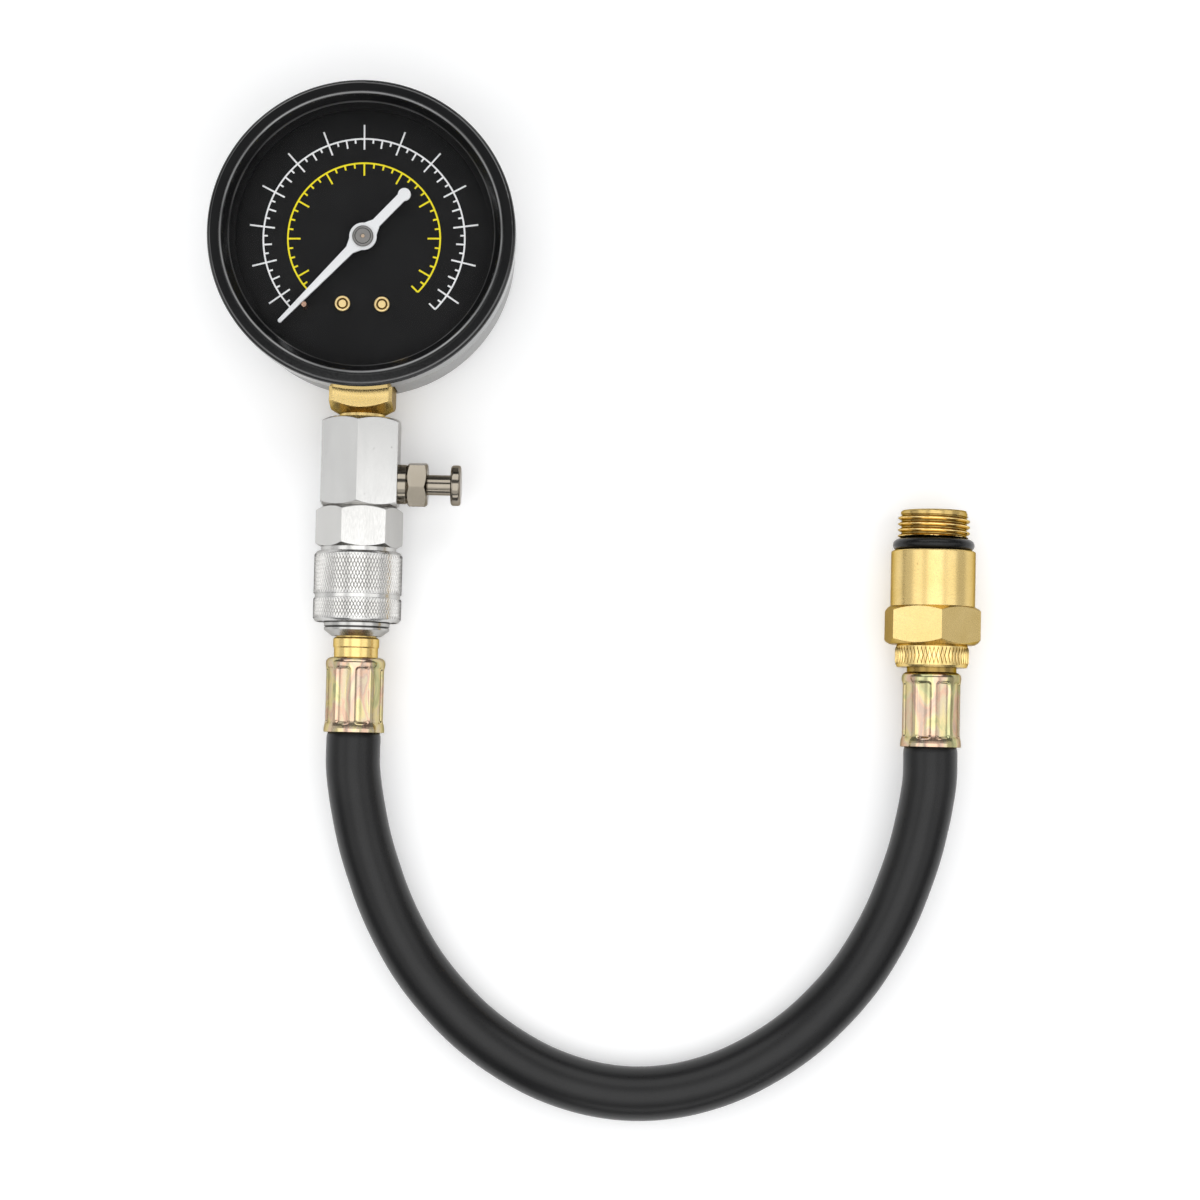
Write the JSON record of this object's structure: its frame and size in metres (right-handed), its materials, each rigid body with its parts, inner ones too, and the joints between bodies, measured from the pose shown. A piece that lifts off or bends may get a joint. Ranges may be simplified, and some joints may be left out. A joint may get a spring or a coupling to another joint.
{
  "type": "compression tester gauge",
  "caption": "Engine compression tester: round dial gauge with a push-button release valve block, a sleeve coupler, a short rubber hose and a threaded spark plug adapter.",
  "frame": {"origin": "on the gauge axis, in the plane of the case's flat back, which lies on the floor", "axes": "+Z is the gauge axis, out of the dial; +Y runs from the stem towards the top of the dial; +X is to the right of the dial"},
  "size_m": [0.1934, 0.2561, 0.0319],
  "materials": {
    "case_grey": "satin grey paint",
    "bezel_black": "gloss black",
    "window_glass": "clear",
    "rubber_black": "matt",
    "dial_black": "matt black with white and yellow scale arcs",
    "pointer_white": "matt white",
    "brass": "satin",
    "steel": "plain",
    "aluminium": "fine turned",
    "nickel": "nickel plated",
    "zinc_yellow": "yellow zinc plated",
    "hose_rubber": "matt"
  },
  "bodies": {
    "gauge": {"case": "case_grey", "bezel": "bezel_black", "window": "window_glass", "window_gasket": "rubber_black", "dial": "dial_black", "dial_screws": "brass", "dial_posts": "brass", "stop_pin": "brass", "hairspring": "steel", "back_plate": "brass", "top_plate": "brass", "plate_pillars": "brass", "plate_screws": "steel", "bourdon_tube": "brass", "socket": "brass", "case_screws": "steel", "valve_block": "aluminium", "valve_body": "nickel", "plunger_spring": "steel", "coupler_body": "aluminium", "sleeve_spring": "steel", "lock_balls": "steel", "spring_washer": "steel", "retaining_ring": "steel", "coupler_o_ring": "rubber_black"},
    "pointer_set": {"pinion": "steel", "pointer": "pointer_white", "pointer_cap": "steel"},
    "sector_set": {"sector": "brass"},
    "link_set": {"link": "steel"},
    "tip_set": {"tube_tip": "brass"},
    "release_set": {"plunger": "nickel", "plunger_seal": "rubber_black"},
    "sleeve_set": {"sleeve": "nickel"},
    "hose_set": {"hose_plug": "brass", "gauge_ferrule": "zinc_yellow", "hose": "hose_rubber", "engine_ferrule": "zinc_yellow", "end_fitting": "brass", "adapter": "brass", "adapter_o_ring": "rubber_black", "core_body": "brass", "core_spring": "steel"},
    "core_set": {"core_pin": "brass", "core_seal": "rubber_black"}
  },
  "joints": [
    {"name": "sector_turn", "type": "hinge", "parent": "gauge", "child": "sector_set", "pos_m": [0.01559, -0.009, 0.0126], "axis": [0, 0, 1], "range_deg": [0, 30]},
    {"name": "pointer_turn", "type": "hinge", "parent": "gauge", "child": "pointer_set", "pos_m": [0, 0, 0.0126], "axis": [0, 0, 1], "range_deg": [-270, 0], "deforming": ["hairspring"]},
    {"name": "link_pivot", "type": "hinge", "parent": "sector_set", "child": "link_set", "pos_m": [0.01559, -0.0155, 0.014], "axis": [0, 0, 1], "range_deg": [-30, 0]},
    {"name": "tip_slide", "type": "slide", "parent": "gauge", "child": "tip_set", "axis": [0.9659, 0.2588, 0], "range_m": [0, 0.00336], "deforming": ["bourdon_tube"]},
    {"name": "plunger_push", "type": "slide", "parent": "gauge", "child": "release_set", "axis": [-1, 0, 0], "range_m": [0, 0.003], "stiffness_N_per_m": 800, "deforming": ["plunger_spring"]},
    {"name": "sleeve_slide", "type": "slide", "parent": "gauge", "child": "sleeve_set", "axis": [0, -1, 0], "range_m": [0, 0.003], "stiffness_N_per_m": 1500, "deforming": ["sleeve_spring"]},
    {"name": "hose_swivel", "type": "hinge", "parent": "gauge", "child": "hose_set", "pos_m": [0, -0.099, 0.013], "axis": [0, -1, 0], "continuous": true},
    {"name": "core_press", "type": "slide", "parent": "hose_set", "child": "core_set", "axis": [0, -1, 0], "range_m": [0, 0.0012], "stiffness_N_per_m": 300, "deforming": ["core_spring"]}
  ],
  "couplings": [
    {"joint": "pointer_turn", "follows": "sector_turn", "ratio": -9},
    {"joint": "link_pivot", "follows": "sector_turn", "ratio": -1},
    {"joint": "tip_slide", "follows": "sector_turn", "m_per_rad": 0.006426}
  ]
}
